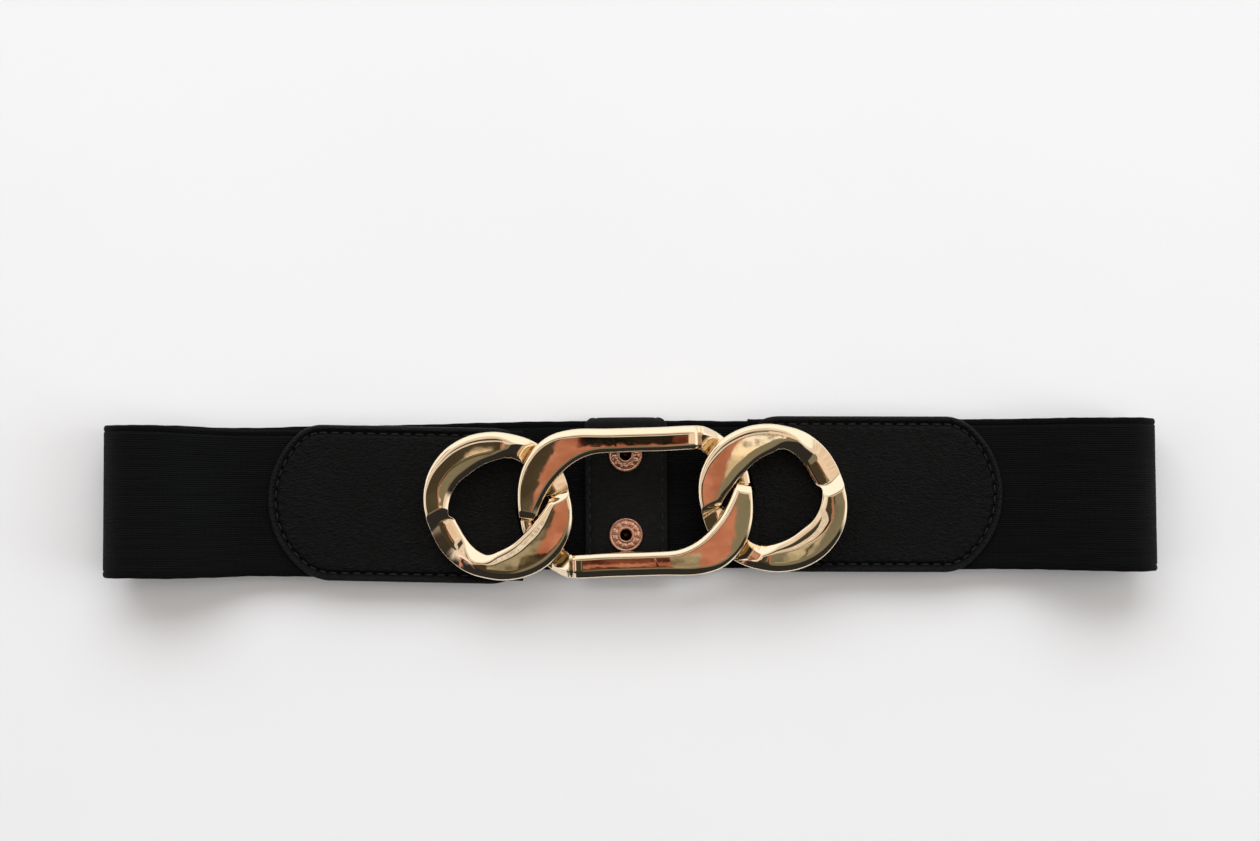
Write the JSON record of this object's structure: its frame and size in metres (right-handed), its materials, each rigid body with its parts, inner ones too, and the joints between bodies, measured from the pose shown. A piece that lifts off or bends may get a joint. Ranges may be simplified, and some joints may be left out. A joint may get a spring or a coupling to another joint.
{
  "type": "elastic waist belt with chain link buckle",
  "caption": "Wide elastic waist belt, closed and lying flat, with leather tabs, a buckle of interlocking curb links and a snapped leather keeper at the back.",
  "frame": {"origin": "middle of the belt's outline, on the table that it lies on", "axes": "+X along the belt to the wearer's left, +Y up across its width, +Z out of the front"},
  "size_m": [0.3534, 0.0549, 0.0241],
  "materials": {
    "elastic": "matt black woven elastic webbing",
    "leather": "black fine-grained leather, soft sheen",
    "gold": "polished pale gold plate",
    "copper": "polished rose copper"
  },
  "bodies": {
    "root": {"elastic_band": "elastic", "tab_left": "leather", "tab_right": "leather", "back_keeper": "leather", "snap_upper": "copper", "snap_lower": "copper", "ring_left": "gold", "link_middle": "gold", "ring_right": "gold"}
  },
  "joints": []
}
